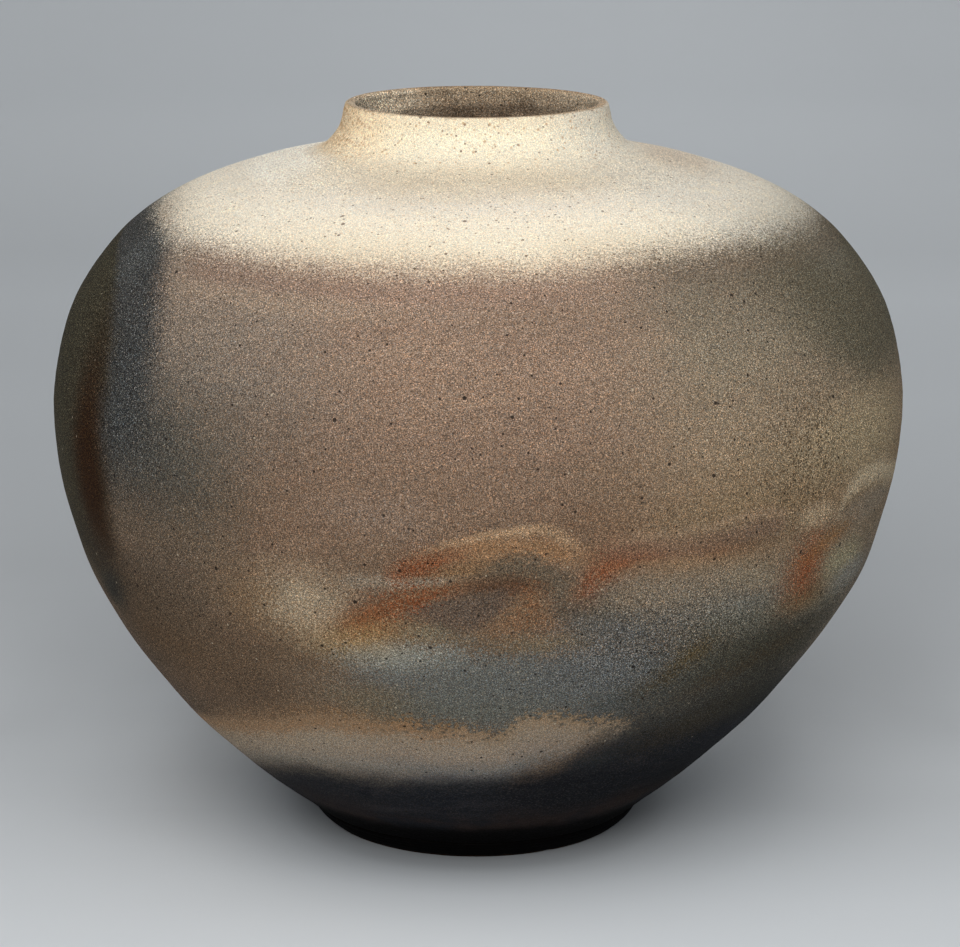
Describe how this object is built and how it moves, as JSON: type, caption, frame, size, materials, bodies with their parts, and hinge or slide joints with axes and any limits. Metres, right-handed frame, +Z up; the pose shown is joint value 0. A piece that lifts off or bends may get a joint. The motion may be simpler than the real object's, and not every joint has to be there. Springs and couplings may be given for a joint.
{
  "type": "stoneware jar",
  "caption": "Round-bellied wheel-thrown stoneware jar on a narrow foot, with a low shoulder and a short open neck, for storage or display.",
  "frame": {"origin": "centre of the foot ring's flat standing face", "axes": "+Z up along the jar's turning axis; the side in the picture faces -Y, with +X to its right"},
  "size_m": [0.42, 0.42, 0.3635],
  "materials": {
    "foot_clay": "fire-blackened unglazed stoneware, fine grit, satin",
    "base_clay": "bare reduced stoneware, matte",
    "lower_skin": "kiln-flashed stoneware in buff, slate and black, fine orange-peel grain, satin-matte",
    "belly_skin": "kiln-flashed stoneware in taupe, rust and blue-grey, fine orange-peel grain, satin-matte",
    "upper_skin": "taupe speckled stoneware, fine orange-peel grain, matte",
    "shoulder_skin": "cream ash-dusted stoneware with iron specks, matte",
    "neck_skin": "warm cream stoneware with iron specks, dark inside, matte"
  },
  "bodies": {
    "root": {"foot_ring": "foot_clay", "base_slab": "base_clay", "lower_wall": "lower_skin", "belly_wall": "belly_skin", "upper_wall": "upper_skin", "shoulder_dome": "shoulder_skin", "neck_collar": "neck_skin"}
  },
  "joints": []
}
